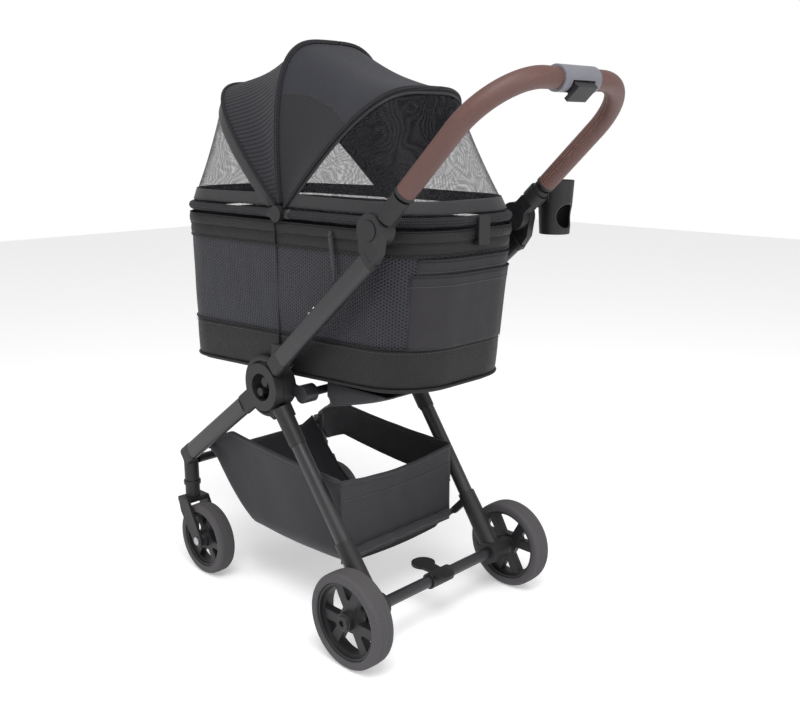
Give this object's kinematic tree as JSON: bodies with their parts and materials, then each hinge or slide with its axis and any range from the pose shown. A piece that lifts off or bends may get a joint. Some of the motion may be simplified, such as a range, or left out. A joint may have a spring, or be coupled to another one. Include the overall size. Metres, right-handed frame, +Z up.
{
  "type": "pet stroller",
  "caption": "Folding pet stroller: lift-off mesh carrier with an opening canopy, adjustable leatherette handle, cup holder, storage basket, swivelling front casters and a rear foot brake.",
  "frame": {"origin": "on the floor, under the middle of the rear axle", "axes": "+Z up, -Y towards the front, +X towards the pusher's left"},
  "size_m": [0.5129, 0.9039, 1.0655],
  "materials": {
    "frame_paint": "satin charcoal powder coat",
    "frame_plastic": "fine-grained charcoal moulding",
    "grey_plastic": "satin mid grey moulding",
    "button_plastic": "semi-gloss black moulding",
    "steel": "zinc plated steel",
    "grip_leather": "reddish brown stitched leatherette",
    "tyre_rubber": "dark grey solid foam tyre with a knurled tread",
    "rim_plastic": "charcoal moulding",
    "carrier_fabric": "air mesh panels with leatherette bands",
    "canopy_fabric": "ribbed knit with sheer mesh windows",
    "ring_fabric": "coarse spacer mesh sleeve",
    "hoop_plastic": "black",
    "basket_fabric": "plain woven polyester",
    "pad_fabric": "quilted polyester",
    "board_plastic": "black board"
  },
  "bodies": {
    "chassis": {"hub_housings": "frame_plastic", "front_leg_left": "frame_paint", "front_leg_right": "frame_paint", "caster_housings": "frame_plastic", "front_cross_tube": "frame_paint", "seat_links": "frame_plastic", "carrier_catches": "frame_plastic", "deck_tube": "frame_paint", "deck_sling": "basket_fabric", "storage_basket": "basket_fabric"},
    "rear_frame": {"rear_knuckles": "frame_plastic", "rear_leg_left": "frame_paint", "rear_leg_right": "frame_paint", "rear_brackets": "frame_plastic", "rear_axle_rod": "steel", "rear_axle_tube": "frame_paint", "basket_rear_bar": "frame_paint"},
    "push_frame": {"push_knuckles": "frame_plastic", "push_tube_left": "frame_paint", "push_tube_right": "frame_paint", "upper_sockets": "frame_plastic", "tube_rivets": "steel"},
    "hub_button_l": {"hub_button_left": "button_plastic"},
    "hub_button_r": {"hub_button_right": "button_plastic"},
    "handle": {"handle_sockets": "frame_plastic", "handle_tube": "frame_paint", "grip_left": "grip_leather", "grip_right": "grip_leather", "handle_block": "grey_plastic", "cup_clamp": "frame_plastic"},
    "fold_slide": {"slide_button": "grey_plastic"},
    "fold_trigger": {"squeeze_trigger": "frame_plastic"},
    "cup_holder": {"cup": "frame_plastic"},
    "brake": {"brake_pedal": "frame_plastic"},
    "caster_left": {"caster_fork_left": "frame_plastic", "front_axle_left": "steel"},
    "caster_right": {"caster_fork_right": "frame_plastic", "front_axle_right": "steel"},
    "front_wheel_left": {"front_tyre_left": "tyre_rubber", "front_rim_left": "rim_plastic"},
    "front_wheel_right": {"front_tyre_right": "tyre_rubber", "front_rim_right": "rim_plastic"},
    "rear_wheel_left": {"rear_tyre_left": "tyre_rubber", "rear_rim_left": "rim_plastic"},
    "rear_wheel_right": {"rear_tyre_right": "tyre_rubber", "rear_rim_right": "rim_plastic"},
    "carrier": {"carrier_tub": "carrier_fabric", "base_board": "board_plastic", "floor_pad": "pad_fabric", "canopy_pivots": "frame_plastic", "top_hoop": "hoop_plastic", "canopy_top_front": "canopy_fabric", "canopy_top_rear": "canopy_fabric"},
    "canopy_hoop_front": {"hoop_front": "hoop_plastic"},
    "canopy_edge_front": {"canopy_ring_front": "ring_fabric", "canopy_panel_front": "canopy_fabric"},
    "canopy_hoop_rear": {"hoop_rear": "hoop_plastic"},
    "canopy_edge_rear": {"canopy_ring_rear": "ring_fabric", "canopy_panel_rear": "canopy_fabric"},
    "rear_latch": {"rear_clip": "frame_plastic"}
  },
  "joints": [
    {"name": "frame_fold", "type": "hinge", "parent": "chassis", "child": "push_frame", "pos_m": [0, -0.262, 0.449], "axis": [-1, 0, 0], "range_deg": [-120, 0]},
    {"name": "rear_leg_fold", "type": "hinge", "parent": "chassis", "child": "rear_frame", "pos_m": [0, -0.262, 0.449], "axis": [1, 0, 0], "range_deg": [-32, 0], "deforming": ["storage_basket"]},
    {"name": "handle_tilt", "type": "hinge", "parent": "push_frame", "child": "handle", "pos_m": [0, 0.031, 0.757], "axis": [1, 0, 0], "range_deg": [-35, 30]},
    {"name": "hub_button_left_press", "type": "slide", "parent": "push_frame", "child": "hub_button_l", "axis": [-1, 0, 0], "range_m": [0, 0.0025], "stiffness_N_per_m": 600},
    {"name": "hub_button_right_press", "type": "slide", "parent": "push_frame", "child": "hub_button_r", "axis": [1, 0, 0], "range_m": [0, 0.0025], "stiffness_N_per_m": 600},
    {"name": "fold_slide_shift", "type": "slide", "parent": "handle", "child": "fold_slide", "axis": [-1, 0, 0], "range_m": [0, 0.01], "stiffness_N_per_m": 150},
    {"name": "fold_trigger_squeeze", "type": "slide", "parent": "handle", "child": "fold_trigger", "axis": [0, -0.6896, 0.7242], "range_m": [0, 0.0025], "stiffness_N_per_m": 900},
    {"name": "cup_lift", "type": "slide", "parent": "handle", "child": "cup_holder", "axis": [0, 0, 1], "range_m": [0, 0.06]},
    {"name": "brake_rock", "type": "hinge", "parent": "rear_frame", "child": "brake", "pos_m": [0, 0, 0.0875], "axis": [1, 0, 0], "range_deg": [-12, 12]},
    {"name": "caster_left_swivel", "type": "hinge", "parent": "chassis", "child": "caster_left", "pos_m": [0.178, -0.54, 0.2], "axis": [0, 0, 1], "continuous": true},
    {"name": "front_wheel_left_spin", "type": "hinge", "parent": "caster_left", "child": "front_wheel_left", "pos_m": [0.178, -0.492, 0.0753], "axis": [1, 0, 0], "continuous": true},
    {"name": "rear_wheel_left_spin", "type": "hinge", "parent": "rear_frame", "child": "rear_wheel_left", "pos_m": [0.2188, 0, 0.0875], "axis": [1, 0, 0], "continuous": true},
    {"name": "caster_right_swivel", "type": "hinge", "parent": "chassis", "child": "caster_right", "pos_m": [-0.178, -0.54, 0.2], "axis": [0, 0, 1], "continuous": true},
    {"name": "front_wheel_right_spin", "type": "hinge", "parent": "caster_right", "child": "front_wheel_right", "pos_m": [-0.178, -0.492, 0.0753], "axis": [1, 0, 0], "continuous": true},
    {"name": "rear_wheel_right_spin", "type": "hinge", "parent": "rear_frame", "child": "rear_wheel_right", "pos_m": [-0.2188, 0, 0.0875], "axis": [1, 0, 0], "continuous": true},
    {"name": "carrier_lift", "type": "slide", "parent": "chassis", "child": "carrier", "axis": [0, 0, 1], "range_m": [0, 0.2]},
    {"name": "canopy_front_open", "type": "hinge", "parent": "carrier", "child": "canopy_hoop_front", "pos_m": [0, -0.246, 0.765], "axis": [-1, 0, 0], "range_deg": [0, 32], "deforming": ["canopy_top_front"]},
    {"name": "canopy_front_edge", "type": "hinge", "parent": "canopy_hoop_front", "child": "canopy_edge_front", "pos_m": [0, -0.246, 0.765], "axis": [-1, 0, 0], "range_deg": [0, 28], "deforming": ["canopy_panel_front"]},
    {"name": "canopy_rear_open", "type": "hinge", "parent": "carrier", "child": "canopy_hoop_rear", "pos_m": [0, -0.246, 0.765], "axis": [1, 0, 0], "range_deg": [0, 34], "deforming": ["canopy_top_rear"]},
    {"name": "canopy_rear_edge", "type": "hinge", "parent": "canopy_hoop_rear", "child": "canopy_edge_rear", "pos_m": [0, -0.246, 0.765], "axis": [1, 0, 0], "range_deg": [0, 28], "deforming": ["canopy_panel_rear"]},
    {"name": "rear_latch_open", "type": "hinge", "parent": "canopy_edge_rear", "child": "rear_latch", "pos_m": [0, 0.1, 0.772], "axis": [1, 0, 0], "range_deg": [0, 30]}
  ],
  "couplings": [
    {"joint": "rear_leg_fold", "follows": "frame_fold", "ratio": 0.256},
    {"joint": "canopy_front_edge", "follows": "canopy_front_open", "ratio": 0.8},
    {"joint": "canopy_rear_edge", "follows": "canopy_rear_open", "ratio": 0.8}
  ]
}
